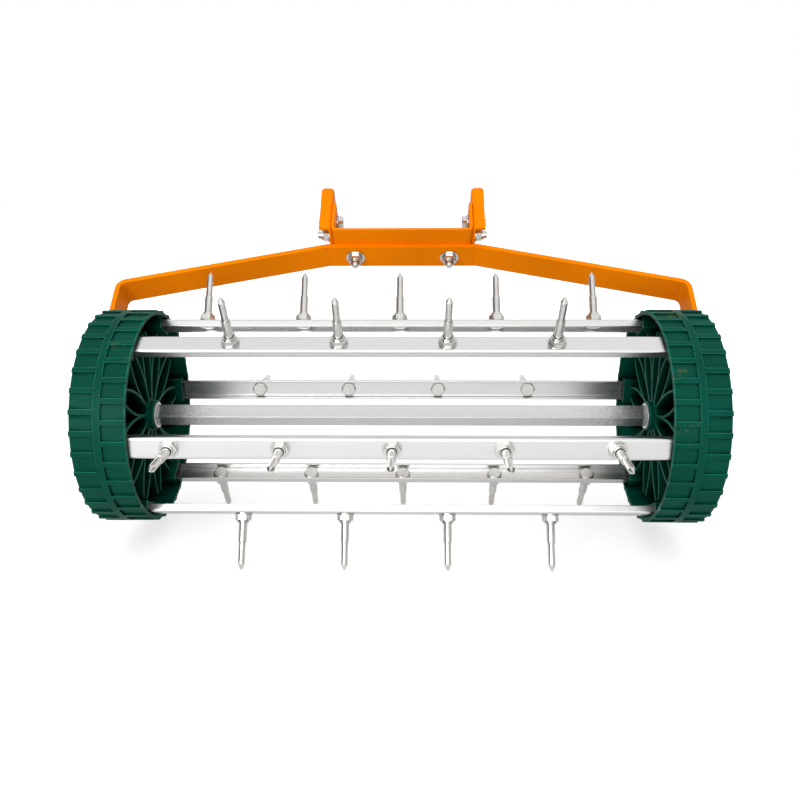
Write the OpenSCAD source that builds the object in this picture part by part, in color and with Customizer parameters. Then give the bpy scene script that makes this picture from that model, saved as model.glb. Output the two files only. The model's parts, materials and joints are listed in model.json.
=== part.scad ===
// Towed rolling spike aerator: a spiked drum between two moulded wheels,
// turning in the ends of a bent flat-bar bail that carries a handle bracket.
// X runs along the axle, the front (towards -Y) is the side away from the handle,
// and Z is up. The origin is on the ground, under the middle of the whole object.
// Most pieces are drawn around the axle centre and lifted into place at the end.

/* [Drum] */
// Distance between the inner edges of the two wheels
inner_gap = 458; // [430:2:560]
// Radius of the circle on which the bars' outer faces lie
bar_face_r = 93.5; // [90.5:0.5:94]
// Radius reached by the tips of the spikes
spike_tip_r = 145; // [138:1:150]
// Distance between neighbouring spikes on a bar
spike_pitch = 94.7; // [80:0.1:100]

/* [Bars] */
// Width of a bar's outer face
bar_w = 19.8; // [18.4:0.1:22]
// Depth of a bar's side walls
bar_depth = 7.7; // [6.5:0.1:9]
// Thickness of the bar's steel
bar_t = 1.5; // [1:0.1:1.8]
// Outer corner radius of a bar
bar_corner = 2.4; // [1.9:0.1:3]

/* [Spikes] */
// Width of the spike bolt's head across its flats
spike_head_af = 13; // [11:0.5:14]
// Height of the spike bolt's head
spike_head_h = 4; // [3:0.5:5.5]
// Diameter of the threaded part
spike_thread_d = 7.6; // [7:0.1:8]
// Length of the threaded part beyond the bar's face
spike_thread_len = 26; // [20:1:30]
// Diameter of the smooth part
spike_shank_d = 6.2; // [5:0.1:6.8]
// Length of the pointed tip
spike_point_len = 5.5; // [4:0.5:10]
// Diameter of the blunt end of the tip
spike_blunt_d = 1.2; // [0.6:0.1:2]
// Outer diameter of the washer under a spike's nut
spike_washer_d = 16; // [14:0.5:17]
// Thickness of the washer under a spike's nut
spike_washer_t = 1.2; // [0.8:0.1:1.6]
// Width of a spike's nut across its flats
spike_nut_af = 13; // [11:0.5:14]
// Height of the hexagonal part of a spike's nut
spike_nut_h = 5.2; // [4:0.1:6.5]
// Height of the round collar on top of a spike's nut
spike_collar_h = 2; // [1.5:0.1:3]

/* [Wheels] */
// Radius of the wheel over its tread ridges
wheel_r = 100; // [98.5:0.5:104]
// Width of the wheel
wheel_w = 47.6; // [46:0.2:60]
// Height of the tread ridges
tread_h = 2; // [1:0.1:2.3]
// Wall between the tread's base and the inside of the rim
rim_wall = 2.4; // [2:0.1:3]
// Ridges in each row of the tread
tread_count = 34; // [24:1:40]
// Width of a tread ridge
ridge_w = 4.6; // [3:0.1:6]
// Turn of the inner row's first ridge from straight up, in degrees
tread_phase = 2.1; // [0:0.1:10]
// Width of the smooth band at the wheel's inner edge
lip_w = 1; // [0.6:0.1:5]
// How far that band lies below the tops of the tread's ridges
lip_drop = 1.3; // [0:0.1:1.5]
// Distance of the middle band from the wheel's inner edge
mid_band_at = 20.8; // [16:0.1:24]
// Width of the middle band
mid_band_w = 6; // [4:0.1:8]
// Depth of the wheel's hollow side, from its inner edge to the disc
cup_depth = 42; // [36:0.5:43.5]
// Thickness of the wheel's disc
disc_t = 3; // [2:0.1:4.5]
// Outer diameter of the hub on its inner side
hub_d = 27.6; // [25:0.2:32]
// Distance of the hub's inner end from the wheel's inner edge
hub_set_back = 4; // [2.5:0.5:6]
// Diameter of the hub on its outer side
hub_out_d = 30; // [26:1:34]
// How far the hub stands out of the wheel's outer side
hub_out_h = 5.6; // [4:0.2:8]
// Thickness of a rib between the hub and the rim
rib_t = 2; // [1.4:0.1:2.6]
// Hairpin ribs round the wheel's hub
rib_count = 12; // [6:6:12]
// Half the spread of a hairpin rib's legs at the hub
rib_root_half = 4.4; // [3.6:0.1:5.2]
// Half the spread of a hairpin rib's legs where they are widest apart
rib_belly_half = 9.5; // [7:0.1:10]
// Distance from the axle at which the legs are widest apart
rib_belly_r = 49; // [44:0.5:52]
// Distance from the axle at which the legs end
rib_tip_r = 80; // [70:0.5:84]
// Distance of the ribs' free edges from the wheel's inner edge
rib_set_back = 9; // [8:0.5:16]
// Wall of the pocket that holds a bar's end
pocket_t = 2.2; // [1.6:0.1:3]
// Distance of the pocket's mouth from the wheel's inner edge
pocket_set_back = 3.5; // [2:0.5:14]

/* [Axle] */
// Width of the square axle tube
tube_w = 14.1; // [13:0.1:15]
// Wall of the axle tube
tube_t = 1.6; // [1:0.1:1.9]
// Turn of the tube's first face from straight up, in degrees
tube_turn = 39.7; // [0:0.1:90]
// Depth of the axle tube's seat behind the hub's inner end
tube_seat = 29; // [18:1:33]
// Length of the threaded plug in each end of the tube
plug_len = 28; // [20:1:40]
// Diameter of the axle bolt
axle_bolt_d = 8; // [6:0.5:8.5]
// Width of the axle bolt's head across its flats
axle_head_af = 13; // [12:0.5:15]
// Height of the axle bolt's head
axle_head_h = 5.3; // [4:0.1:6]
// Outer diameter of the washer under the axle bolt's head
axle_washer_d = 18; // [16:0.5:22]
// Thickness of the washer under the axle bolt's head
axle_washer_t = 2; // [1.5:0.1:3]
// How far the axle bolt's end stops short of the plug's inner end
axle_bolt_short = 6; // [2:1:12]
// Outer diameter of the journal sleeve
sleeve_d = 12; // [11:0.2:13]
// Outer diameter of the bush in the bail's arm
bush_d = 16; // [14.6:0.2:18]
// Outer diameter of the bush's flange
bush_flange_d = 22; // [20:0.5:25]
// Thickness of the bush's flange
bush_flange_t = 2; // [1.5:0.1:3]
// Radial running clearance between sleeve and bush
run_gap = 0.05; // [0.03:0.01:0.09]
// Free play along the axle on each side
end_play = 0.25; // [0.2:0.05:0.4]
// Outer diameter of the steel washer on the tube at the hub
hub_washer_d = 24.4; // [22.4:0.2:25]
// Thickness of the steel washer on the tube at the hub
hub_washer_t = 1.5; // [1:0.1:2]

/* [Bail] */
// Lean of the bail from straight up, towards the rear, in degrees
bail_lean = 48; // [40:1:60]
// Width of the bail's flat bar
bail_w = 30; // [28:1:36]
// Thickness of the bail's flat bar
bail_t = 5; // [4:0.25:6]
// Gap between the wheel's outer side and the bail's arm
arm_gap = 16; // [12:0.5:22]
// Distance from the axle to the outer corner of the bail
bail_shoulder_r = 153; // [150:1:165]
// Distance from the axle to the outer face of the bail's middle
bail_top_r = 203; // [196:1:225]
// Half the length of the bail's straight middle
bail_half_mid = 80; // [76:1:100]
// Outer radius of the bail's corner bends
bail_bend_r = 12; // [9:1:18]
// Distance between the two bolts through the bail's middle
bail_bolt_span = 101; // [90:1:110]
// Outer diameter of the large washers under the bail's nuts
bail_washer_d = 20; // [17:1:24]
// Thickness of the large washers under the bail's nuts
bail_washer_t = 1.6; // [1.2:0.1:2.5]

/* [Handle bracket] */
// Width across the bracket's outer faces
bracket_w = 149; // [140:1:155]
// Thickness of the bracket's plate
bracket_t = 3; // [2.5:0.25:4]
// How far the bracket's plate stands above the bail's middle line
bracket_up = 36; // [30:1:42]
// How far the bracket's plate reaches below the bail's middle line
bracket_down = 16.5; // [15:0.5:20]
// Length of the bracket's side plates, from the bail's outer face
bracket_len = 46; // [42:0.5:46.5]
// Corner radius of the bracket's side plates
bracket_corner = 12; // [4:1:16]
// Inner bend radius of the bracket
bracket_bend = 2.5; // [1:0.5:4]

/* [Handle straps] */
// Thickness of the angle straps
strap_t = 3; // [2.5:0.25:4]
// Width of the strap's folded leg, over the thickness
strap_leg_w = 13; // [11:0.5:16]
// Depth of the strap's side, over the thickness
strap_side_w = 38; // [34:1:42]
// Gap between the bail's outer face and the strap's lower end
strap_start = 2.5; // [2:0.5:5]
// Distance from the bail's outer face to the strap's free end
strap_len = 61; // [58:1:90]
// Radius of the strap's free corners
strap_corner = 4; // [2:0.5:5.5]
// Distance from the bail's outer face to the first strap bolt
bolt_first = 14.5; // [13:0.5:18]
// Distance between the two strap bolts
bolt_span = 18; // [17:0.5:22]
// Height of the strap bolts above the bail's middle line
bolt_up = 13; // [10:0.5:16]
// Distance of the free handle hole from the strap's free end
handle_hole_in = 10; // [8:0.5:12]
// Diameter of the free handle holes
handle_hole_d = 8.5; // [6.5:0.1:9]

/* [M8 fasteners] */
// Diameter of the frame's bolts
m8_d = 8; // [6:0.1:8.2]
// Width of their heads and nuts across the flats
m8_af = 13; // [11:0.5:14]
// Height of their heads
m8_head_h = 5.3; // [4:0.1:6]
// Height of the hexagonal part of their nuts
m8_nut_h = 5.8; // [4:0.1:6.5]
// Height of the round collar on their nuts
m8_collar_h = 2.2; // [1:0.1:3]
// Outer diameter of their plain washers
m8_washer_d = 16; // [14:0.5:16.4]
// Thickness of their plain washers
m8_washer_t = 1.6; // [1:0.1:2]
// How far a bolt's end stands out of its nut
m8_end = 4; // [1:0.5:6]
// Diameter of the clearance holes for these bolts
m8_hole_d = 8.5; // [8.3:0.1:9]

/* [Hidden] */
$fn = 48;

ORANGE = [1, 0.55, 0.03];
GREEN = [0.04, 0.34, 0.26];
ZINC = [0.86, 0.87, 0.86];
STEEL = [0.78, 0.8, 0.78];
BRONZE = [0.7, 0.55, 0.3];

// The six rows of the drum in order round it. A row's angle is measured from
// straight up and grows towards the front.
row_step = 60;
row_first = -30;
row_spikes = [5, 4, 5, 4, 5, 4];
// How far each row of holes sits off the drum's middle
row_shift = [-1, -5, -5, -3, 1.5, -9];

// Clearances that are not running fits
slip = 0.15;
bolt_slip = 0.2;
bar_end_gap = 0.6;

// How far a bush stands out of the arm's outer face
bush_proud = 0.5;

// Height of the chamfer under a nut and on a bolt's head and end, and depth
// of the countersink in a nut's collar
nut_chamfer = 1.6;
nut_sink = 0.8;
head_chamfer = 1;
end_chamfer = 0.8;

// Places along the axle, measured from its middle
wheel_in = inner_gap / 2;
wheel_out = wheel_in + wheel_w;
disc_at = wheel_in + cup_depth;
hub_in = wheel_in + hub_set_back;
hub_out = wheel_out + hub_out_h;
tube_end = hub_in + tube_seat;
arm_in = wheel_out + arm_gap;
arm_out = arm_in + bail_t;
bush_in = arm_in - bush_flange_t;
bush_out = arm_out + bush_proud;
sleeve_end = bush_out + end_play;
axle_head_at = sleeve_end + axle_washer_t;
bar_end = disc_at - bar_end_gap;

// Radii of the wheel
tread_base_r = wheel_r - tread_h;
rim_in_r = tread_base_r - rim_wall;

// The lowest spikes lean by half a row step from straight down, and the part's
// depth runs from the front row's tips to the rear corner of the straps.
axle_h = spike_tip_r * cos(row_step / 2) + spike_blunt_d / 2 * sin(row_step / 2);
strap_end_r = bail_top_r + strap_len;
strap_low = bracket_up - strap_side_w;
rear_y = (strap_end_r - strap_corner) * sin(bail_lean)
    - (strap_low + strap_corner) * cos(bail_lean) + strap_corner;
axle_y = (spike_tip_r - rear_y) / 2;

// Points of an arc, from one angle to another in degrees
function arc_pts(c, r, a0, a1, n = 10) =
    [for (i = [0:n]) c + r * [cos(a0 + (a1 - a0) * i / n), sin(a0 + (a1 - a0) * i / n)]];

// Width across the corners of a hexagon from its width across the flats
function corners(af) = af / cos(30);

// Lifts what is drawn round the axle centre into place
module at_axle() {
    translate([0, axle_y, axle_h]) children();
}

// Puts what is drawn with its length up Z onto the bail's leaning plane
module on_bail() {
    at_axle() rotate([-bail_lean, 0, 0]) children();
}

// Turns what is drawn at the top of the drum to the place of a row
module at_row(i) {
    at_axle() rotate([row_first + row_step * i, 0, 0]) children();
}

// Draws a piece of the right side, or its mirror image on the left
module side(s) {
    mirror([s < 0 ? 1 : 0, 0, 0]) children();
}

// A straight round bar along X from one place to another
module x_rod(d, from, to) {
    translate([from, 0, 0]) rotate([0, 90, 0]) cylinder(d = d, h = to - from);
}

// A flat ring lying on z = 0
module ring(d_out, d_in, h) {
    difference() {
        cylinder(d = d_out, h = h);
        translate([0, 0, -1]) cylinder(d = d_in, h = h + 2);
    }
}

// A self-locking nut on z = 0: a hexagon under a round collar
module lock_nut(af, hex_h, collar_h, bore) {
    difference() {
        union() {
            intersection() {
                cylinder(d = corners(af), h = hex_h, $fn = 6);
                union() {
                    cylinder(d1 = af * 1.06, d2 = corners(af) + 2, h = nut_chamfer);
                    translate([0, 0, nut_chamfer - 0.1]) cylinder(d = corners(af) + 2, h = hex_h);
                }
            }
            cylinder(d = af * 0.84, h = hex_h + collar_h);
        }
        translate([0, 0, -1]) cylinder(d = bore, h = hex_h + collar_h + 2);
        translate([0, 0, hex_h + collar_h - nut_sink])
            cylinder(d1 = bore, d2 = bore + 2 * nut_sink, h = nut_sink + 0.01);
    }
}

// A bolt's hexagon head on z = 0, chamfered round its top
module hex_head(af, h) {
    intersection() {
        cylinder(d = corners(af), h = h, $fn = 6);
        union() {
            cylinder(d = corners(af) + 2, h = h - head_chamfer);
            translate([0, 0, h - head_chamfer - 0.01])
                cylinder(d1 = corners(af) + 0.2, d2 = af * 0.96, h = head_chamfer + 0.01);
        }
    }
}

// A hexagon bolt whose head stands on z = 0 and whose shank goes down
module hex_bolt(af, head_h, d, length) {
    hex_head(af, head_h);
    translate([0, 0, -length]) {
        translate([0, 0, end_chamfer]) cylinder(d = d, h = length - end_chamfer + 0.4);
        cylinder(d1 = d - 2 * end_chamfer, d2 = d, h = end_chamfer + 0.01);
    }
}

// The bail, outline in its own leaning plane
bail_rise = bail_top_r - bail_shoulder_r;
bail_run = arm_out - bail_half_mid;
slope = atan(bail_rise / bail_run);
corner_tangent = bail_bend_r * tan((90 - slope) / 2);
corner_in_r = bail_bend_r - bail_t;
kink_in = bail_t * tan(slope / 2);

function bail_half(s) = [
    for (p = concat(
        [[arm_out, 0]],
        arc_pts([arm_out - bail_bend_r, bail_shoulder_r - corner_tangent], bail_bend_r, 0, 90 - slope),
        [[bail_half_mid, bail_top_r]]
    )) [s * p[0], p[1]]
];

function bail_half_inner(s) = [
    for (p = concat(
        [[arm_in, 0]],
        arc_pts([arm_out - bail_bend_r, bail_shoulder_r - corner_tangent], corner_in_r, 0, 90 - slope),
        [[bail_half_mid - kink_in, bail_top_r - bail_t]]
    )) [s * p[0], p[1]]
];

function reversed(list) = [for (i = [len(list) - 1:-1:0]) list[i]];

module arm_end() {
    translate([arm_in, 0, 0]) rotate([90, 0, 90]) linear_extrude(bail_t)
        polygon(arc_pts([0, 0], bail_w / 2, 180, 360, 24));
}

module bail() {
    color(ORANGE) on_bail() difference() {
        union() {
            rotate([90, 0, 0]) linear_extrude(bail_w, center = true)
                polygon(concat(
                    bail_half(1), reversed(bail_half(-1)),
                    bail_half_inner(-1), reversed(bail_half_inner(1))
                ));
            for (s = [-1, 1]) side(s) arm_end();
        }
        for (s = [-1, 1]) {
            side(s) x_rod(bush_d, arm_in - 1, arm_out + 1);
            translate([s * bail_bolt_span / 2, 0, bail_top_r - bail_t - 1])
                cylinder(d = m8_hole_d, h = bail_t + 2);
        }
    }
}

// The handle bracket: a wide plate bent into a U, opening away from the axle
bracket_half = bracket_w / 2;
bracket_in = bracket_half - bracket_t;
bend_out = bracket_bend + bracket_t;

module bracket_profile() {
    bend_at = [bracket_half - bend_out, bend_out];
    outer = concat(arc_pts(bend_at, bend_out, -90, 0, 6), [[bracket_half, bracket_len]]);
    inner = concat([[bracket_in, bracket_len]], arc_pts(bend_at, bracket_bend, 0, -90, 6));
    half = concat(outer, inner);
    polygon(concat(half, reversed([for (p = half) [-p[0], p[1]]])));
}

// Side view of the bracket's plates, across and along the bail's plane
module bracket_side_view() {
    h = bracket_up + bracket_down;
    r = bracket_corner;
    polygon(concat(
        [[-bracket_down, -1], [bracket_up, -1]],
        arc_pts([bracket_up - r, bracket_len - r], r, 0, 90, 8),
        arc_pts([-bracket_down + r, bracket_len - r], r, 90, 180, 8)
    ));
}

module handle_bracket() {
    color(ORANGE) on_bail() translate([0, 0, bail_top_r]) difference() {
        intersection() {
            translate([0, bracket_down, 0]) rotate([90, 0, 0])
                linear_extrude(bracket_up + bracket_down) bracket_profile();
            translate([-bracket_half - 1, 0, 0]) rotate([90, 0, 90])
                linear_extrude(bracket_w + 2) mirror([1, 0]) bracket_side_view();
        }
        for (s = [-1, 1]) {
            translate([s * bail_bolt_span / 2, 0, -1]) cylinder(d = m8_hole_d, h = bracket_t + 2);
            for (k = [0, 1]) translate([0, -bolt_up, bolt_first + k * bolt_span])
                side(s) x_rod(m8_hole_d, bracket_in - 1, bracket_half + 1);
        }
    }
}

// An angle strap: its side lies on the bracket, its leg folds outwards on top
strap_out = bracket_half + strap_t;
strap_leg_out = bracket_half + strap_leg_w;
strap_bend_in = 1.5;

module strap_section() {
    c = [bracket_half + strap_t + strap_bend_in, bracket_up - strap_t - strap_bend_in];
    polygon(concat(
        [[bracket_half, strap_low]],
        [[bracket_half, c[1]]],
        arc_pts(c, strap_t + strap_bend_in, 180, 90, 6),
        [[strap_leg_out, bracket_up], [strap_leg_out, bracket_up - strap_t]],
        arc_pts(c, strap_bend_in, 90, 180, 4),
        [[strap_out, strap_low]]
    ));
}

// Rounds the two free corners of a plate that ends at the strap's free end
module strap_end_trim(low, high) {
    r = strap_corner;
    polygon(concat(
        [[low, strap_start], [high, strap_start]],
        arc_pts([high - r, strap_len - r], r, 0, 90, 8),
        arc_pts([low + r, strap_len - r], r, 90, 180, 8)
    ));
}

module handle_strap(s) {
    color(ORANGE) on_bail() side(s) translate([0, 0, bail_top_r]) difference() {
        intersection() {
            translate([0, 0, strap_start]) linear_extrude(strap_len - strap_start)
                mirror([0, 1]) strap_section();
            union() {
                translate([bracket_half - 1, 0, 0]) rotate([90, 0, 90])
                    linear_extrude(strap_t + strap_bend_in + 1)
                    mirror([1, 0]) strap_end_trim(strap_low, bracket_up + 8);
                translate([0, strap_t + strap_bend_in - bracket_up, 0]) rotate([90, 0, 0])
                    linear_extrude(strap_t + strap_bend_in + 1)
                    strap_end_trim(bracket_half - 8, strap_leg_out);
            }
        }
        for (k = [0, 1]) translate([0, -bolt_up, bolt_first + k * bolt_span])
            x_rod(m8_hole_d, bracket_half - 1, strap_out + 1);
        translate([0, -bolt_up, strap_len - handle_hole_in])
            x_rod(handle_hole_d, bracket_half - 1, strap_out + 1);
    }
}

module handle_strap_left() { handle_strap(-1); }
module handle_strap_right() { handle_strap(1); }

// The two bolts that hold the bracket to the bail, their nuts on the drum's side
bail_bolt_len = bracket_t + bail_t + bail_washer_t + m8_nut_h + m8_collar_h + m8_end;

module each_bail_bolt(r) {
    on_bail() for (s = [-1, 1]) translate([s * bail_bolt_span / 2, 0, r]) children();
}

module bail_bolts() {
    color(STEEL) each_bail_bolt(bail_top_r + bracket_t)
        hex_bolt(m8_af, m8_head_h, m8_d, bail_bolt_len);
}

module bail_washers() {
    color(STEEL) each_bail_bolt(bail_top_r - bail_t - bail_washer_t)
        ring(bail_washer_d, m8_hole_d, bail_washer_t);
}

module bail_nuts() {
    color(STEEL) each_bail_bolt(bail_top_r - bail_t - bail_washer_t)
        mirror([0, 0, 1]) lock_nut(m8_af, m8_nut_h, m8_collar_h, m8_d);
}

// The four bolts that hold the straps, heads inside and nuts outside
strap_bolt_len = m8_washer_t + bracket_t + strap_t + m8_washer_t + m8_nut_h + m8_collar_h + m8_end;

module each_strap_bolt(x) {
    on_bail() for (s = [-1, 1]) side(s) for (k = [0, 1])
        translate([x, -bolt_up, bail_top_r + bolt_first + k * bolt_span])
            rotate([0, 90, 0]) children();
}

module strap_bolts() {
    color(STEEL) each_strap_bolt(bracket_in - m8_washer_t)
        mirror([0, 0, 1]) hex_bolt(m8_af, m8_head_h, m8_d, strap_bolt_len);
}

module strap_inner_washers() {
    color(STEEL) each_strap_bolt(bracket_in - m8_washer_t) ring(m8_washer_d, m8_hole_d, m8_washer_t);
}

module strap_outer_washers() {
    color(STEEL) each_strap_bolt(strap_out) ring(m8_washer_d, m8_hole_d, m8_washer_t);
}

module strap_nuts() {
    color(STEEL) each_strap_bolt(strap_out + m8_washer_t)
        lock_nut(m8_af, m8_nut_h, m8_collar_h, m8_d);
}

// The flanged bush pressed into each arm
module axle_bush(s) {
    color(BRONZE) at_axle() side(s) difference() {
        union() {
            x_rod(bush_flange_d, bush_in, arm_in);
            x_rod(bush_d, bush_in, bush_out);
        }
        x_rod(sleeve_d + 2 * run_gap, bush_in - 1, bush_out + 1);
    }
}

module axle_bush_left() { axle_bush(-1); }
module axle_bush_right() { axle_bush(1); }

// The sleeve that turns in the bush, clamped between the wheel and the bolt
module journal_sleeve(s) {
    color(STEEL) at_axle() side(s) difference() {
        union() {
            x_rod(sleeve_d, hub_out, sleeve_end);
            x_rod(bush_flange_d - 2, hub_out, bush_in - end_play);
        }
        x_rod(axle_bolt_d + 2 * bolt_slip, hub_out - 1, sleeve_end + 1);
    }
}

module journal_sleeve_left() { journal_sleeve(-1); }
module journal_sleeve_right() { journal_sleeve(1); }

module axle_bolt_washer(s) {
    color(STEEL) at_axle() side(s) difference() {
        x_rod(axle_washer_d, sleeve_end, axle_head_at);
        x_rod(axle_bolt_d + 2 * bolt_slip, sleeve_end - 1, axle_head_at + 1);
    }
}

module axle_bolt_washer_left() { axle_bolt_washer(-1); }
module axle_bolt_washer_right() { axle_bolt_washer(1); }

// The bolt screws into the plug and clamps the washer, the sleeve and the hub
axle_bolt_len = axle_head_at - tube_end + plug_len - axle_bolt_short;

module axle_bolt(s) {
    color(STEEL) at_axle() side(s) translate([axle_head_at, 0, 0]) rotate([0, 90, 0])
        hex_bolt(axle_head_af, axle_head_h, axle_bolt_d, axle_bolt_len);
}

module axle_bolt_left() { axle_bolt(-1); }
module axle_bolt_right() { axle_bolt(1); }

// The square axle tube and the threaded plug in each of its ends
module square_rod(w, from, to) {
    rotate([tube_turn, 0, 0]) translate([from, -w / 2, -w / 2]) cube([to - from, w, w]);
}

module axle_tube() {
    color(ZINC) at_axle() difference() {
        square_rod(tube_w, -tube_end, tube_end);
        square_rod(tube_w - 2 * tube_t, -tube_end - 1, tube_end + 1);
    }
}

module tube_plug(s) {
    color(STEEL) at_axle() side(s) difference() {
        square_rod(tube_w - 2 * tube_t, tube_end - plug_len, tube_end);
        x_rod(axle_bolt_d, tube_end - plug_len - 1, tube_end + 1);
    }
}

module tube_plug_left() { tube_plug(-1); }
module tube_plug_right() { tube_plug(1); }

// The steel washer on the square tube, let into the hub's inner end
module hub_washer(s) {
    color(ZINC) at_axle() side(s) difference() {
        x_rod(hub_washer_d, hub_in - hub_washer_t, hub_in);
        square_rod(tube_w + 2 * slip, hub_in - hub_washer_t - 1, hub_in + 1);
    }
}

module hub_washer_left() { hub_washer(-1); }
module hub_washer_right() { hub_washer(1); }

// The wheel is one moulding, drawn as two solids that meet inside the rim:
// the rim with its tread, and the centre with its disc, hub, ribs and bar pockets
rib_root_r = hub_d / 2 + rib_root_half;
rib_bulge = rib_belly_half - rib_root_half;
rib_arc_r = (pow(rib_belly_r - rib_root_r, 2) + pow(rib_bulge, 2)) / (2 * rib_bulge);
rib_from = wheel_in + rib_set_back;
mid_band_from = wheel_in + mid_band_at;
mid_band_to = mid_band_from + mid_band_w;
tread_step = 360 / tread_count;

module wheel_ring(r_out, r_in, from, to) {
    difference() {
        x_rod(2 * r_out, from, to);
        x_rod(2 * r_in, from - 1, to + 1);
    }
}

module tread_row(from, to, phase) {
    for (k = [0:tread_count - 1]) rotate([phase + k * tread_step, 0, 0])
        translate([from, -ridge_w / 2, tread_base_r - 1]) cube([to - from, ridge_w, tread_h + 1]);
}

// A hairpin rib: two thin bowed walls that are joined round at the hub and end free
module hairpin_rib() {
    length = disc_at + 1 - rib_from;
    for (s = [-1, 1]) intersection() {
        translate([0, s * (rib_belly_half - rib_arc_r), rib_belly_r]) difference() {
            x_rod(2 * rib_arc_r + rib_t, rib_from, rib_from + length);
            x_rod(2 * rib_arc_r - rib_t, rib_from - 1, disc_at + 2);
        }
        translate([wheel_in, s * bar_w / 2 - bar_w / 2, rib_root_r])
            cube([cup_depth + 2, bar_w, rib_tip_r - rib_root_r]);
    }
    translate([0, 0, rib_root_r]) difference() {
        x_rod(2 * rib_root_half + rib_t, rib_from, rib_from + length);
        x_rod(2 * rib_root_half - rib_t, rib_from - 1, disc_at);
        translate([wheel_in, -bar_w, 0]) cube([cup_depth, 2 * bar_w, bar_w]);
    }
}

// The seat for a bar's end: two cheeks and an inner shelf under the rim
module pocket() {
    from = wheel_in + pocket_set_back;
    low = bar_face_r - bar_depth - slip - pocket_t;
    for (s = [-1, 1]) translate([from, s * (bar_w / 2 + slip + pocket_t / 2) - pocket_t / 2, low])
        cube([disc_at + 1 - from, pocket_t, rim_in_r - low]);
    translate([from, -bar_w / 2 - slip - pocket_t, low])
        cube([disc_at + 1 - from, bar_w + 2 * slip + 2 * pocket_t, pocket_t]);
}

module wheel_rim(s) {
    color(GREEN) at_axle() side(s) {
        wheel_ring(tread_base_r, rim_in_r, wheel_in, wheel_out);
        wheel_ring(wheel_r - lip_drop, rim_in_r + 1, wheel_in, wheel_in + lip_w);
        wheel_ring(wheel_r, rim_in_r + 1, mid_band_from, mid_band_to);
        tread_row(wheel_in, mid_band_from + 1, tread_phase);
        tread_row(mid_band_to - 1, wheel_out, tread_phase + tread_step / 2);
    }
}

module wheel_rim_left() { wheel_rim(-1); }
module wheel_rim_right() { wheel_rim(1); }

module wheel_centre(s) {
    color(GREEN) at_axle() side(s) difference() {
        union() {
            wheel_ring(rim_in_r, hub_d / 2 - 1, disc_at, disc_at + disc_t);
            x_rod(hub_d, hub_in, disc_at + 1);
            x_rod(hub_out_d, disc_at, hub_out);
            intersection() {
                x_rod(2 * rim_in_r, wheel_in, disc_at + 1);
                union() {
                    difference() {
                        for (k = [0:rib_count - 1])
                            rotate([row_first + k * 360 / rib_count, 0, 0]) hairpin_rib();
                        for (k = [0:5]) rotate([row_first + k * row_step, 0, 0])
                            translate([wheel_in, -bar_w / 2 - 1, bar_face_r - bar_depth - 2])
                                cube([cup_depth, bar_w + 2, 30]);
                    }
                    for (k = [0:5]) rotate([row_first + k * row_step, 0, 0]) pocket();
                }
            }
        }
        x_rod(axle_bolt_d + 2 * bolt_slip, tube_end - 1, hub_out + 1);
        square_rod(tube_w + 2 * slip, hub_in - 1, tube_end);
    }
}

module wheel_centre_left() { wheel_centre(-1); }
module wheel_centre_right() { wheel_centre(1); }

// The six channel bars, open towards the axle
function row_x(i, k) = row_shift[i] + (k - (row_spikes[i] - 1) / 2) * spike_pitch;

module bar_section() {
    w = bar_w / 2;
    r = bar_corner;
    ri = bar_corner - bar_t;
    outer = concat(
        [[w, -bar_depth]],
        arc_pts([w - r, -r], r, 0, 90, 6),
        arc_pts([r - w, -r], r, 90, 180, 6),
        [[-w, -bar_depth]]
    );
    inner = concat(
        [[bar_t - w, -bar_depth]],
        arc_pts([r - w, -r], ri, 180, 90, 4),
        arc_pts([w - r, -r], ri, 90, 0, 4),
        [[w - bar_t, -bar_depth]]
    );
    polygon(concat(outer, inner));
}

module bar(i) {
    color(ZINC) at_row(i) difference() {
        translate([-bar_end, 0, bar_face_r]) rotate([90, 0, 90])
            linear_extrude(2 * bar_end) bar_section();
        for (k = [0:row_spikes[i] - 1]) translate([row_x(i, k), 0, bar_face_r - bar_t - 1])
            cylinder(d = spike_thread_d + 2 * bolt_slip, h = bar_t + 2);
    }
}

module bar_top_rear() { bar(0); }
module bar_top_front() { bar(1); }
module bar_front() { bar(2); }
module bar_lower_front() { bar(3); }
module bar_lower_rear() { bar(4); }
module bar_rear() { bar(5); }

// A spike is a long bolt turned down to a smooth pointed shank
module each_spike(i, r) {
    at_row(i) for (k = [0:row_spikes[i] - 1]) translate([row_x(i, k), 0, r]) children();
}

module spike() {
    head_at = bar_face_r - bar_t;
    thread_to = bar_face_r + spike_thread_len;
    point_from = spike_tip_r - spike_point_len;
    translate([0, 0, head_at]) mirror([0, 0, 1]) hex_head(spike_head_af, spike_head_h);
    translate([0, 0, head_at - 1]) cylinder(d = spike_thread_d, h = thread_to - head_at + 1);
    translate([0, 0, thread_to - 1]) cylinder(d = spike_shank_d, h = point_from - thread_to + 1);
    translate([0, 0, point_from])
        cylinder(d1 = spike_shank_d, d2 = spike_blunt_d, h = spike_point_len);
}

module spikes(i) { color(ZINC) each_spike(i, 0) spike(); }

module spikes_top_rear() { spikes(0); }
module spikes_top_front() { spikes(1); }
module spikes_front() { spikes(2); }
module spikes_lower_front() { spikes(3); }
module spikes_lower_rear() { spikes(4); }
module spikes_rear() { spikes(5); }

module spike_washers(i) {
    color(STEEL) each_spike(i, bar_face_r)
        ring(spike_washer_d, spike_thread_d + 2 * bolt_slip, spike_washer_t);
}

module spike_washers_top_rear() { spike_washers(0); }
module spike_washers_top_front() { spike_washers(1); }
module spike_washers_front() { spike_washers(2); }
module spike_washers_lower_front() { spike_washers(3); }
module spike_washers_lower_rear() { spike_washers(4); }
module spike_washers_rear() { spike_washers(5); }

module spike_nuts(i) {
    color(STEEL) each_spike(i, bar_face_r + spike_washer_t)
        lock_nut(spike_nut_af, spike_nut_h, spike_collar_h, spike_thread_d);
}

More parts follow.
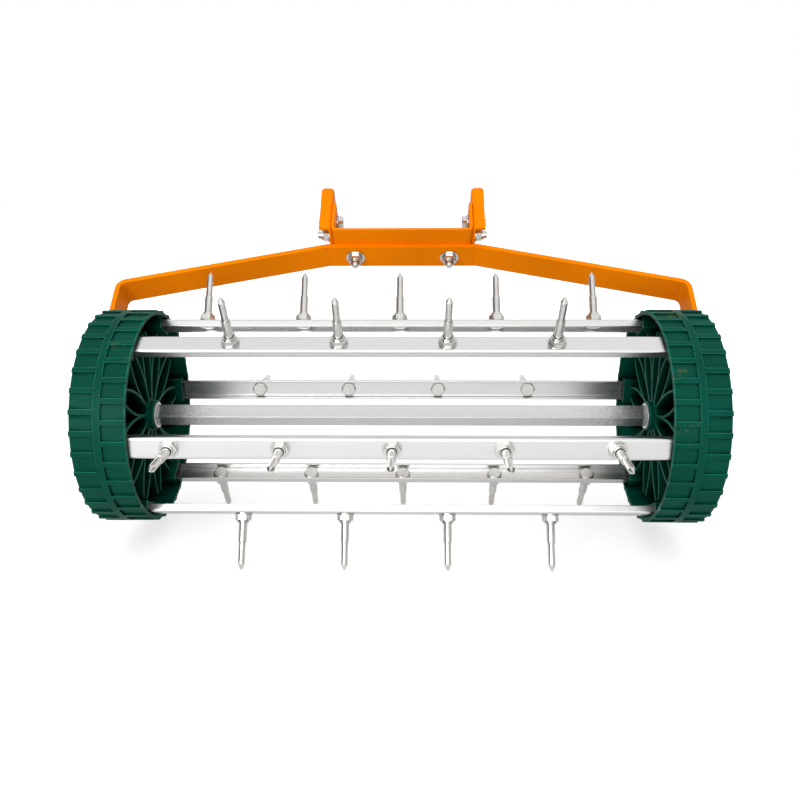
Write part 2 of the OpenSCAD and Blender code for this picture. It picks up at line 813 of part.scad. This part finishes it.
module spike_nuts_top_rear() { spike_nuts(0); }
module spike_nuts_top_front() { spike_nuts(1); }
module spike_nuts_front() { spike_nuts(2); }
module spike_nuts_lower_front() { spike_nuts(3); }
module spike_nuts_lower_rear() { spike_nuts(4); }
module spike_nuts_rear() { spike_nuts(5); }

bail();
handle_bracket();
handle_strap_left();
handle_strap_right();
bail_bolts();
bail_washers();
bail_nuts();
strap_bolts();
strap_inner_washers();
strap_outer_washers();
strap_nuts();
axle_bush_left();
axle_bush_right();
wheel_rim_left();
wheel_rim_right();
wheel_centre_left();
wheel_centre_right();
axle_tube();
tube_plug_left();
tube_plug_right();
hub_washer_left();
hub_washer_right();
journal_sleeve_left();
journal_sleeve_right();
axle_bolt_left();
axle_bolt_right();
axle_bolt_washer_left();
axle_bolt_washer_right();
bar_top_rear();
bar_top_front();
bar_front();
bar_lower_front();
bar_lower_rear();
bar_rear();
spikes_top_rear();
spikes_top_front();
spikes_front();
spikes_lower_front();
spikes_lower_rear();
spikes_rear();
spike_washers_top_rear();
spike_washers_top_front();
spike_washers_front();
spike_washers_lower_front();
spike_washers_lower_rear();
spike_washers_rear();
spike_nuts_top_rear();
spike_nuts_top_front();
spike_nuts_front();
spike_nuts_lower_front();
spike_nuts_lower_rear();
spike_nuts_rear();
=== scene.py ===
"""Looks, lamps and camera for a rolling spike aerator head.

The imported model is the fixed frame: X runs along the axle, the front is -Y, Z is up
and the origin is on the ground. All lengths are in metres.
"""

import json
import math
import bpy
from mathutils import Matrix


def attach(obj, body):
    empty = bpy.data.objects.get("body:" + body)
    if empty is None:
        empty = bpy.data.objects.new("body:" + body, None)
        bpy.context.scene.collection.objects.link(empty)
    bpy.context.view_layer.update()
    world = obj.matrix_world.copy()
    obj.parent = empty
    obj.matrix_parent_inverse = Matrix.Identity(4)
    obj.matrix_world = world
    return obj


bl_info = {
    "name": "Spike aerator looks",
    "version": (1, 0, 0),
    "blender": (4, 5, 0),
    "location": "3D View > Sidebar > Aerator",
    "description": "Paint, plastic, zinc, threads, lamps and camera for a spike aerator head",
    "category": "Object",
}

import bmesh
import bpy
import numpy as np
from bpy.props import FloatProperty, FloatVectorProperty, IntProperty, PointerProperty
from bpy.types import Operator, Panel, PropertyGroup
from mathutils import Euler, Matrix, Vector

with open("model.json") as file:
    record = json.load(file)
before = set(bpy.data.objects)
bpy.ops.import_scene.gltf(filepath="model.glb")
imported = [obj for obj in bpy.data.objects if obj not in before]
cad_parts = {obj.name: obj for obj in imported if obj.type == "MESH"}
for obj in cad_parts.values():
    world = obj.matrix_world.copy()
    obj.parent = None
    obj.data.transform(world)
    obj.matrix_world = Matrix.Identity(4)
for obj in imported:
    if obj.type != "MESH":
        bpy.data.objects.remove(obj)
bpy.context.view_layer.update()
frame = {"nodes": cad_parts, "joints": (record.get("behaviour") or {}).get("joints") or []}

RAYS = ("Is Camera Ray", "Is Glossy Ray", "Is Transmission Ray")
ROWS = ("top_rear", "top_front", "front", "lower_front", "lower_rear", "rear")
AXLE = Vector(frame["joints"][0]["pos_m"])

PAINTED = ("bail", "handle_bracket", "handle_strap_left", "handle_strap_right")
WHEELS = tuple(name for name in frame["nodes"] if name.startswith("wheel_"))
BUSHES = ("axle_bush_left", "axle_bush_right")
BARS = tuple("bar_" + row for row in ROWS)
SHEET_ZINC = BARS + ("axle_tube", "hub_washer_left", "hub_washer_right")
HARDWARE = tuple(name for name in frame["nodes"]
                 if name not in PAINTED + WHEELS + BUSHES + SHEET_ZINC)

# Where one part of the drum gives way to the next: radii from the axle, and a
# distance from the middle.
TUBE_END = (0.015, 0.02)
TREAD_START = (0.09, 0.095)
NEAR_WHEELS = (0.15, 0.23)

# How far the painted shade of crevices reaches on each finish.
WHEEL_CAVITY, WHEEL_CORNER, BAR_CORNER, BOLT_CORNER = 0.035, 0.0016, 0.002, 0.0012
CREVICE_SAMPLES, BEVEL_SAMPLES = 8, 6

# An arris gets a painted highlight where the rounded normal leaves the plain one by this
# cosine, and where it points up by this much.
ARRIS_TURN = (0.88, 0.992)
ARRIS_UP = (-0.5, 0.5)

# Points this far out of a bolt's core, as a share of its radius, are on its surface.
ON_CORE = 0.97

# A mix node's sockets for the factor, both inputs and the result.
MIX_SOCKETS = {"RGBA": (0, 6, 7, 2), "FLOAT": (0, 2, 3, 0)}

WHITE = (1.0, 1.0, 1.0)
FLOOR_HALF = 6.0
# The floor's glow: for the camera near the object, and for metal far off and under it.
NEAR_GLOW, FAR_SHINE, UNDER_SHINE = 0.5, 0.2, 0.15
# How much darker than white metal sees the left, the right and the sky overhead.
LEFT_FLAG, RIGHT_FLAG, ZENITH = 0.8, 0.45, 0.62
# Each lamp's power setting, width and place.
LAMPS = {
    "top_lamp": ("top_watts", 2.8, (0.1, -0.3, 1.6)),
    "fill_lamp": ("fill_watts", 1.8, (-0.4, -1.7, 0.5)),
    "side_lamp": ("side_watts", 0.35, (-0.8, -1.35, 0.62)),
}
SENSOR_WIDTH = 36


def colour(name, description, default):
    """A colour setting with its usual limits."""
    return FloatVectorProperty(name=name, description=description, default=default,
                               subtype="COLOR", size=3, min=0, max=1)


def length(name, description, default):
    """A length setting in metres."""
    return FloatProperty(name=name, description=description, default=default, min=0,
                         precision=5, unit="LENGTH")


class AeratorColours(PropertyGroup):
    """The colours of the object's finishes, as linear light."""

    paint: colour("Paint", "Powder coat of the bail, bracket and straps", (1.0, 0.25, 0.0002))
    plastic: colour("Plastic", "Moulded plastic of the wheels", (0.001, 0.065, 0.0415))
    painted_highlight: colour("Painted highlight", "The wheels' arrises, which catch the light", (0.04, 0.6, 0.41))
    shade: colour("Shaded plastic", "The wheels' deep corners", (0.0, 0.004, 0.002))
    dust: colour("Dust", "Dry smears on the wheels' tread", (0.11, 0.13, 0.05))
    sheet_zinc: colour("Galvanised", "Bars, axle tube and hub washers", (0.76, 0.765, 0.755))
    bolt_zinc: colour("Bolt zinc", "Spikes, bolts, nuts and washers", (0.74, 0.74, 0.715))
    bronze: colour("Bronze", "The bushes in the bail's arms", (0.55, 0.36, 0.15))


class AeratorSizes(PropertyGroup):
    """Small sizes that the construction leaves to the looks."""

    thread_pitch: length("Thread pitch", "Rise of a thread in one turn", 0.00125)
    thread_depth: length("Thread depth", "How far a thread stands out of its core", 0.00012)
    spike_core: length("Spike core", "Radius of a spike's threaded part", 0.0038)
    bolt_core: length("Bolt core", "Radius of a bolt's shank", 0.004)
    thread_steps: IntProperty(name="Thread steps", description="Steps in one turn of a thread",
                              default=24, min=8, max=32)
    paint_edge: length("Paint edge", "Rounding that the paint gives an edge", 0.0009)
    plastic_edge: length("Plastic edge", "Rounding of the wheels' moulded edges", 0.0006)
    metal_edge: length("Metal edge", "Rounding of the bars and the tube", 0.0012)
    bolt_edge: length("Bolt edge", "Rounding of the fasteners", 0.0002)


class AeratorStage(PropertyGroup):
    """The camera and the light."""

    lens: FloatProperty(name="Lens", description="Focal length on a 36 mm sensor",
                        default=36.21, min=10, max=200)
    place: FloatVectorProperty(name="Place", description="Where the camera stands",
                               default=(0.01477, -0.75565, 0.36189), subtype="TRANSLATION")
    tilt: FloatProperty(name="Tilt", description="How far the camera looks down",
                        default=math.radians(16.821), subtype="ANGLE")
    pan: FloatProperty(name="Pan", description="How far the camera turns to the left",
                       default=math.radians(1.172), subtype="ANGLE")
    roll: FloatProperty(name="Roll", description="How far the camera leans to the right",
                        default=math.radians(0.232), subtype="ANGLE")
    top_watts: FloatProperty(name="Top lamp", description="Power of the lamp overhead",
                             default=15, min=0)
    fill_watts: FloatProperty(name="Fill lamp", description="Power of the lamp at the front",
                              default=21, min=0)
    side_watts: FloatProperty(name="Side lamp", description="Power of the lamp at the front left",
                              default=3, min=0)
    sky: FloatProperty(name="Sky", description="Light that the surroundings shed",
                       default=0.6, min=0)
    ground: FloatProperty(name="Ground", description="The same from below the horizon",
                          default=0.35, min=0)
    floor: FloatProperty(name="Floor", description="Paleness of the floor round the object",
                         default=0.8, min=0, max=1)


class Wire:
    """A node's output, which takes part in sums of values."""

    def __init__(self, sheet, socket):
        self.sheet = sheet
        self.socket = socket

    def sum_with(self, operation, *values):
        """A maths node's result."""
        return self.sheet.node("ShaderNodeMath", enumerate(values), operation=operation)

    def __add__(self, other):
        return self.sum_with("ADD", self, other)

    __radd__ = __add__

    def __sub__(self, other):
        return self.sum_with("SUBTRACT", self, other)

    def __rsub__(self, other):
        return self.sum_with("SUBTRACT", other, self)

    def __mul__(self, other):
        return self.sum_with("MULTIPLY", self, other)

    __rmul__ = __mul__

    def __truediv__(self, other):
        return self.sum_with("DIVIDE", self, other)

    def __abs__(self):
        return self.sum_with("ABSOLUTE", self)

    def smooth(self, low, high):
        """0 below low and 1 above high, with a soft step between."""
        return self.sheet.node("ShaderNodeMapRange", enumerate((self, low, high, 0, 1)),
                               interpolation_type="SMOOTHSTEP")


class Sheet:
    """A node tree and the one way to add a node to it."""

    def __init__(self, tree):
        self.tree = tree
        tree.nodes.clear()

    def node(self, kind, values=(), out=0, **settings):
        """Adds a node, sets it up, feeds its sockets and returns the output asked for."""
        made = self.tree.nodes.new(kind)
        for name, value in settings.items():
            setattr(made, name, value)
        for name, value in values.items() if isinstance(values, dict) else values:
            if isinstance(value, Wire):
                self.tree.links.new(value.socket, made.inputs[name])
            else:
                made.inputs[name].default_value = value
        return Wire(self, made.outputs[out]) if made.outputs else made

    def blend(self, factor, first, second, kind="RGBA"):
        """Mixes two colours, or two numbers where kind is FLOAT."""
        *sockets, result = MIX_SOCKETS[kind]
        return self.node("ShaderNodeMix", zip(sockets, (factor, first, second)), out=result,
                         data_type=kind)

    def vector(self, operation, *values, out="Vector"):
        """Vector maths, whose lengths and dot products come out as Value."""
        return self.node("ShaderNodeVectorMath", enumerate(values), out=out, operation=operation)

    def part(self, vector, axis):
        """A vector's X, Y or Z."""
        return self.node("ShaderNodeSeparateXYZ", {0: vector}, out=axis)

    def place(self):
        """Object coordinates."""
        return self.node("ShaderNodeTexCoord", out=3)

    def polar(self):
        """The distance from the middle along the axle, and the distance from the axle."""
        place = self.place()
        spoke = self.vector("MULTIPLY", self.vector("SUBTRACT", place, AXLE), (0, 1, 1))
        return abs(self.part(place, "X")), self.vector("LENGTH", spoke, out="Value")

    def noise(self, scale, detail=2, rough=0.5, vector=None):
        """Soft noise about 0.5, with its scale in cycles to the metre."""
        return self.node("ShaderNodeTexNoise", {
            "Vector": vector or self.place(), "Scale": scale, "Detail": detail, "Roughness": rough,
        })

    def crevice(self, reach):
        """0 where other surfaces close in and 1 in the open."""
        return self.node("ShaderNodeAmbientOcclusion", {"Distance": reach}, out="AO",
                         samples=CREVICE_SAMPLES)

    def rounded(self, edge):
        """The normal of edges that are rounded by the given radius."""
        return self.node("ShaderNodeBevel", {"Radius": edge}, samples=BEVEL_SAMPLES)

    def arris(self, edge):
        """1 along upward edges that are rounded by the given radius, and 0 on flat faces; it masks
        a painted highlight.
        """
        rounded = self.rounded(edge)
        plain = self.node("ShaderNodeNewGeometry", out="Normal")
        same = self.vector("DOT_PRODUCT", rounded, plain, out="Value")
        return (1 - same.smooth(*ARRIS_TURN)) * self.part(rounded, "Z").smooth(*ARRIS_UP)

    def bump(self, height, distance, strength=1.0, edge=0.0):
        """A bumped normal on edges that are rounded by the given radius."""
        values = {"Height": height, "Distance": distance, "Strength": strength}
        if edge:
            values["Normal"] = self.rounded(edge)
        return self.node("ShaderNodeBump", values)


def rgba(values, level=1.0):
    """A colour at the given level, with full alpha."""
    return (*(value * level for value in values), 1.0)


def settings():
    """The colour settings and the size settings."""
    scene = bpy.context.scene
    return scene.aerator_colours, scene.aerator_sizes


def finish(name, build):
    """Makes a material whose surface has the shader values that build(sheet) returns."""
    made = bpy.data.materials.new(name)
    made.use_nodes = True
    sheet = Sheet(made.node_tree)
    surface = sheet.node("ShaderNodeBsdfPrincipled", build(sheet))
    sheet.node("ShaderNodeOutputMaterial", {"Surface": surface})
    return made


def coat(names, made):
    """Gives CAD nodes a material."""
    for name in names:
        slots = frame["nodes"][name].data.materials
        slots.clear()
        slots.append(made)


def paint_finish(sheet):
    """Powder coat: a faint orange peel and a slow drift of tone."""
    colours, sizes = settings()
    drift = sheet.noise(9, 2)
    peel = sheet.noise(650, 3)
    tone = sheet.blend(drift.smooth(0.3, 0.7), rgba(colours.paint, 0.86), rgba(colours.paint))
    return {
        "Base Color": tone,
        "Roughness": 0.3 + 0.1 * peel,
        "Normal": sheet.bump(peel, 0.00012, 0.5, sizes.paint_edge),
        "Specular IOR Level": 0.015,
    }


def plastic_finish(sheet):
    """Moulded plastic: a fine grain, arrises with a painted highlight, painted shade in corners and
    deep inside, and a few dry smears.
    """
    colours, sizes = settings()
    grain = sheet.noise(1400, 2)
    drift = sheet.noise(14, 3)
    high = sheet.polar()[1]
    patch = sheet.noise(22, 2, 0.6).smooth(0.63, 0.72)
    flecks = sheet.noise(260, 4, 0.7).smooth(0.42, 0.62)
    smear = patch * flecks * high.smooth(*TREAD_START)
    tone = sheet.blend(drift.smooth(0.3, 0.75), rgba(colours.plastic, 0.85),
                       rgba(colours.plastic, 1.12))
    # Painted highlight: arrises that face up turn a paler teal, as if catching light from above.
    highlit = sheet.blend(sheet.arris(sizes.plastic_edge) * 0.8, tone, rgba(colours.painted_highlight))
    # Painted shade: deep inside the wheels and in tight corners the plastic turns to the shade
    # colour.
    cavity = sheet.crevice(WHEEL_CAVITY).smooth(0.23, 0.81)
    corner = sheet.crevice(WHEEL_CORNER).smooth(0.3, 0.8)
    lit = sheet.blend(cavity * (0.35 + 0.65 * corner), rgba(colours.shade), highlit)
    return {
        "Base Color": sheet.blend(smear * 0.7, lit, rgba(colours.dust)),
        "Roughness": 0.34 + 0.12 * drift + 0.2 * smear,
        "Normal": sheet.bump(grain, 0.00006, 0.35, sizes.plastic_edge),
        "Specular IOR Level": 0.05,
    }


def sheet_zinc_finish(sheet):
    """Galvanised steel: fine streaks along the bars, a faint spangle on the tube, and painted shade
    in the creases.
    """
    colours, sizes = settings()
    across, high = sheet.polar()
    tube = 1 - high.smooth(*TUBE_END)
    near_wheels = across.smooth(*NEAR_WHEELS)
    speckle = sheet.noise(420, 4, 0.75)
    drawn = sheet.vector("MULTIPLY", sheet.place(), (0.03, 1, 1))
    streak = sheet.noise(700, 3, 0.6, drawn)
    patches = speckle.smooth(0.42, 0.6) * tube * (0.12 + 0.8 * near_wheels)
    # Painted shade: creases between the bars, the tube and the washers darken towards dark grey.
    corner = sheet.crevice(BAR_CORNER).smooth(0.3, 0.9)
    tone = sheet.blend(patches + 0.06 * streak, rgba(colours.sheet_zinc),
                       rgba(colours.sheet_zinc, 0.62))
    return {
        "Base Color": sheet.blend(0.3 + 0.7 * corner, rgba(WHITE, 0.1), tone),
        "Metallic": 1.0,
        "Roughness": 0.24 + 0.05 * streak + 0.14 * speckle * tube,
        "Normal": sheet.bump(streak, 0.00001, 0.12, sizes.metal_edge),
    }


def bolt_zinc_finish(sheet):
    """Bright zinc plate with a slightly uneven lustre, and painted shade in its crevices."""
    colours, sizes = settings()
    cloud = sheet.noise(160, 2, 0.5)
    # Painted shade: crevices, such as round each spike at its nut, darken towards black.
    corner = sheet.crevice(BOLT_CORNER).smooth(0.35, 0.85)
    tone = sheet.blend(cloud.smooth(0.35, 0.7), rgba(colours.bolt_zinc, 0.9),
                       rgba(colours.bolt_zinc))
    return {
        "Base Color": sheet.blend(0.12 + 0.88 * corner, rgba(WHITE, 0.02), tone),
        "Metallic": 1.0,
        "Roughness": 0.15 + 0.1 * cloud,
        "Normal": sheet.bump(cloud, 0.00002, 0.2, sizes.bolt_edge),
    }


def bronze_finish(sheet):
    """Sintered bronze, open-pored and dull."""
    pores = sheet.noise(2200, 2)
    bronze = settings()[0].bronze
    return {
        "Base Color": sheet.blend(pores.smooth(0.4, 0.6), rgba(bronze, 0.7), rgba(bronze)),
        "Metallic": 1.0,
        "Roughness": 0.42 + 0.16 * pores,
        "Normal": sheet.bump(pores, 0.00008, 0.6),
    }


def solids(name):
    """The corner points of each separate solid of a CAD node, worked out on a merged copy."""
    work = bmesh.new()
    work.from_mesh(frame["nodes"][name].data)
    bmesh.ops.remove_doubles(work, verts=work.verts, dist=1e-6)
    seen, groups = set(), []
    for first in work.verts:
        if first in seen:
            continue
        group, front = [], [first]
        seen.add(first)
        while front:
            point = front.pop()
            group.append(point.co.copy())
            for edge in point.link_edges:
                other = edge.other_vert(point)
                if other not in seen:
                    seen.add(other)
                    front.append(other)
        groups.append(np.array(group))
    work.free()
    return groups


def thread_run(bolt, nuts, core):
    """Where the bare thread past a bolt's nut starts, its direction and its length."""
    middle = (bolt.min(0) + bolt.max(0)) / 2
    along = np.linalg.svd(bolt - bolt.mean(0), full_matrices=False)[2][0]
    centre = bolt.mean(0)
    height = (bolt - centre) @ along
    away = np.linalg.norm(bolt - centre - np.outer(height, along), axis=1)
    if height[np.argmax(away)] > 0:
        along, height = -along, -height
    nut = min(nuts, key=lambda points:
              np.linalg.norm((points.min(0) + points.max(0)) / 2 - middle))
    start = ((nut - centre) @ along).max()
    end = height[away > core * ON_CORE].max()
    return centre + along * start, along, end - start


def thread_tree(name, made):
    """Geometry Nodes: one helical ridge at each point, turned as the point says."""
    tree = bpy.data.node_groups.new(name, "GeometryNodeTree")
    face = tree.interface
    face.new_socket("Geometry", in_out="INPUT", socket_type="NodeSocketGeometry")
    for label in ("Core", "Depth", "Pitch", "Length"):
        face.new_socket(label, in_out="INPUT", socket_type="NodeSocketFloat")
    face.new_socket("Steps", in_out="INPUT", socket_type="NodeSocketInt")
    face.new_socket("Geometry", in_out="OUTPUT", socket_type="NodeSocketGeometry")
    sheet = Sheet(tree)
    group = tree.nodes.new("NodeGroupInput")
    taken = {item.name: Wire(sheet, item) for item in group.outputs if item.name}
    spiral = sheet.node("GeometryNodeCurveSpiral", {
        "Resolution": taken["Steps"], "Rotations": taken["Length"] / taken["Pitch"],
        "Start Radius": taken["Core"], "End Radius": taken["Core"], "Height": taken["Length"],
    })
    upright = sheet.node("GeometryNodeSetCurveNormal", {"Curve": spiral}, mode="Z_UP")
    ridge = sheet.node("GeometryNodeCurvePrimitiveCircle", {
        "Resolution": 4, "Radius": taken["Depth"],
    }, mode="RADIUS")
    thread = sheet.node("GeometryNodeCurveToMesh", {
        "Curve": upright, "Profile Curve": ridge, "Fill Caps": True,
    })
    turn = sheet.node("GeometryNodeInputNamedAttribute", {"Name": "turn"}, data_type="FLOAT_VECTOR")
    copies = sheet.node("GeometryNodeInstanceOnPoints", {
        "Points": taken["Geometry"], "Instance": thread, "Rotation": turn,
    })
    real = sheet.node("GeometryNodeRealizeInstances", {"Geometry": copies})
    coated = sheet.node("GeometryNodeSetMaterial", {"Geometry": real, "Material": made})
    sheet.node("NodeGroupOutput", {0: coated})
    return tree


def threads(name, body, runs, core, made):
    """Makes the threads of like bolts as one plain mesh that rides on their body."""
    sizes = settings()[1]
    mesh = bpy.data.meshes.new(name)
    mesh.from_pydata([tuple(start) for start, along, reach in runs], [], [])
    turn = mesh.attributes.new("turn", "FLOAT_VECTOR", "POINT")
    for item, (start, along, reach) in zip(turn.data, runs):
        item.vector = Vector(along).to_track_quat("Z", "Y").to_euler()
    piece = bpy.data.objects.new(name, mesh)
    bpy.context.scene.collection.objects.link(piece)
    tree = thread_tree(name, made)
    grow = piece.modifiers.new("Threads", "NODES")
    grow.node_group = tree
    wanted = {
        "Core": core, "Depth": sizes.thread_depth, "Pitch": sizes.thread_pitch,
        "Length": float(min(reach for start, along, reach in runs)), "Steps": sizes.thread_steps,
    }
    for item in tree.interface.items_tree:
        if item.in_out == "INPUT" and item.name in wanted:
            grow[item.identifier] = wanted[item.name]
    bpy.context.view_layer.update()
    seen = piece.evaluated_get(bpy.context.evaluated_depsgraph_get())
    plain = bpy.data.meshes.new_from_object(seen)
    plain.name = name
    piece.modifiers.remove(grow)
    piece.data = plain
    bpy.data.meshes.remove(mesh)
    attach(piece, body)


class AERATOR_OT_paint_frame(Operator):
    """Gives the bail, the bracket and the straps their orange powder coat"""

    bl_idname = "aerator.paint_frame"
    bl_label = "Paint the Bail and Bracket"

    def execute(self, context):
        coat(PAINTED, finish("orange_paint", paint_finish))
        return {"FINISHED"}


class AERATOR_OT_mould_wheels(Operator):
    """Gives the wheels their green moulded plastic"""

    bl_idname = "aerator.mould_wheels"
    bl_label = "Finish the Wheels"

    def execute(self, context):
        coat(WHEELS, finish("green_plastic", plastic_finish))
        return {"FINISHED"}


class AERATOR_OT_galvanise_drum(Operator):
    """Gives the bars, the axle tube and the hub washers their galvanised steel"""

    bl_idname = "aerator.galvanise_drum"
    bl_label = "Finish the Bars and Tube"

    def execute(self, context):
        coat(SHEET_ZINC, finish("galvanised_steel", sheet_zinc_finish))
        return {"FINISHED"}


class AERATOR_OT_plate_hardware(Operator):
    """Gives the spikes, bolts, nuts and washers their zinc plate, and the bushes their bronze"""

    bl_idname = "aerator.plate_hardware"
    bl_label = "Finish the Fasteners"

    def execute(self, context):
        coat(HARDWARE, finish("zinc_hardware", bolt_zinc_finish))
        coat(BUSHES, finish("bronze", bronze_finish))
        return {"FINISHED"}


class AERATOR_OT_cut_threads(Operator):
    """Adds the bare threads of the spikes and of the frame's bolts"""

    bl_idname = "aerator.cut_threads"
    bl_label = "Cut the Threads"

    def execute(self, context):
        sizes = context.scene.aerator_sizes
        made = bpy.data.materials["zinc_hardware"]
        runs = []
        for row in ROWS:
            nuts = solids("spike_nuts_" + row)
            runs += [thread_run(spike, nuts, sizes.spike_core) for spike in solids("spikes_" + row)]
        threads("spike_threads", "drum", runs, sizes.spike_core, made)
        runs = []
        for group in ("bail", "strap"):
            nuts = solids(group + "_nuts")
            runs += [thread_run(bolt, nuts, sizes.bolt_core) for bolt in solids(group + "_bolts")]
        threads("bolt_threads", "frame", runs, sizes.bolt_core, made)
        return {"FINISHED"}


class AERATOR_OT_stage(Operator):
    """Adds the floor, the surroundings, the lamps and the camera"""

    bl_idname = "aerator.stage"
    bl_label = "Set the Stage"

    def execute(self, context):
        values = context.scene.aerator_stage
        self.floor(values)
        self.surroundings(context, values)
        for name, (watts, width, place) in LAMPS.items():
            self.lamp(name, getattr(values, watts), width, place)
        self.camera(context, values)
        context.scene.view_settings.view_transform = "Standard"
        return {"FINISHED"}

    def floor(self, values):
        """A pale floor that keeps the object's shadow and turns white around it."""
        mesh = bpy.data.meshes.new("floor")
        signs = ((-1, -1), (1, -1), (1, 1), (-1, 1))
        corners = [(x * FLOOR_HALF, y * FLOOR_HALF, 0) for x, y in signs]
        mesh.from_pydata(corners, [], [(0, 1, 2, 3)])
        piece = bpy.data.objects.new("floor", mesh)
        bpy.context.scene.collection.objects.link(piece)
        made = bpy.data.materials.new("pale_floor")
        made.use_nodes = True
        sheet = Sheet(made.node_tree)
        camera, glossy, through = [sheet.node("ShaderNodeLightPath", out=name) for name in RAYS]
        far = sheet.vector("LENGTH", sheet.place(), out="Value")
        away = far.smooth(0.3, 0.9)
        under = 1 - far.smooth(0.15, 0.5)
        matt = sheet.node("ShaderNodeBsdfDiffuse", {"Color": rgba(WHITE, values.floor)})
        glow = sheet.node("ShaderNodeEmission", {
            "Color": rgba(WHITE),
            "Strength": camera * (NEAR_GLOW + (1 - NEAR_GLOW) * away)
            + (glossy + through) * (FAR_SHINE * away + UNDER_SHINE * under),
        })
        both = sheet.node("ShaderNodeAddShader", {0: matt, 1: glow})
        sheet.node("ShaderNodeOutputMaterial", {"Surface": both})
        mesh.materials.append(made)

    def surroundings(self, context, values):
        """White where the camera sees it, softer where it lights the object."""
        world = bpy.data.worlds.new("studio")
        world.use_nodes = True
        sheet = Sheet(world.node_tree)
        camera, glossy, through = [sheet.node("ShaderNodeLightPath", out=name) for name in RAYS]
        ahead = sheet.node("ShaderNodeTexCoord", out="Generated")
        aside, up = sheet.part(ahead, "X"), sheet.part(ahead, "Z")
        shed = values.ground + (values.sky - values.ground) * up.smooth(-0.2, 0.9)
        flags = LEFT_FLAG * (0 - aside).smooth(0.5, 0.75) + RIGHT_FLAG * aside.smooth(0.6, 0.85)
        shown = (1 - ZENITH * glossy * up.smooth(0.35, 0.75)) * (1 - glossy * flags)
        strength = sheet.blend(camera + glossy + through, shed, shown, "FLOAT")
        backdrop = sheet.node("ShaderNodeBackground", {"Color": rgba(WHITE), "Strength": strength})
        sheet.node("ShaderNodeOutputWorld", {"Surface": backdrop})
        context.scene.world = world

    def lamp(self, name, watts, width, place):
        """A square lamp that faces the drum."""
        data = bpy.data.lights.new(name, "AREA")
        data.energy = watts
        data.size = width
        lamp = bpy.data.objects.new(name, data)
        lamp.location = place
        lamp.rotation_euler = (AXLE - Vector(place)).to_track_quat("-Z", "Y").to_euler()
        bpy.context.scene.collection.objects.link(lamp)

    def camera(self, context, values):
        """The photograph's viewpoint."""
        data = bpy.data.cameras.new("camera")
        data.sensor_fit = "HORIZONTAL"
        data.sensor_width = SENSOR_WIDTH
        data.lens = values.lens
        camera = bpy.data.objects.new("camera", data)
        turns = [(0, 0, values.pan), (math.pi / 2 - values.tilt, 0, 0), (0, 0, -values.roll)]
        matrix = Matrix.Identity(3)
        for turn in turns:
            matrix = matrix @ Euler(turn).to_matrix()
        camera.location = values.place
        camera.rotation_euler = matrix.to_euler()
        context.scene.collection.objects.link(camera)
        context.scene.camera = camera


class AERATOR_PT_panel(Panel):
    """Lists the steps that dress the aerator"""

    bl_idname = "AERATOR_PT_panel"
    bl_label = "Spike Aerator"
    bl_space_type = "VIEW_3D"
    bl_region_type = "UI"
    bl_category = "Aerator"

    def draw(self, context):
        for step in STEPS:
            self.layout.operator(step.bl_idname)
        for group in ("aerator_colours", "aerator_sizes", "aerator_stage"):
            values = getattr(context.scene, group)
            for name in values.__annotations__:
                self.layout.prop(values, name)


STEPS = (
    AERATOR_OT_stage, AERATOR_OT_paint_frame, AERATOR_OT_mould_wheels, AERATOR_OT_galvanise_drum,
    AERATOR_OT_plate_hardware, AERATOR_OT_cut_threads,
)
GROUPS = {
    "aerator_colours": AeratorColours, "aerator_sizes": AeratorSizes, "aerator_stage": AeratorStage,
}


def register():
    for made in (*GROUPS.values(), *STEPS, AERATOR_PT_panel):
        bpy.utils.register_class(made)
    for name, group in GROUPS.items():
        setattr(bpy.types.Scene, name, PointerProperty(type=group))


def unregister():
    for name in GROUPS:
        delattr(bpy.types.Scene, name)
    for made in reversed((*GROUPS.values(), *STEPS, AERATOR_PT_panel)):
        bpy.utils.unregister_class(made)


def main():
    """Runs every step in order."""
    register()
    for step in STEPS:
        group, name = step.bl_idname.split(".")
        getattr(getattr(bpy.ops, group), name)()


if __name__ == "__main__":
    main()
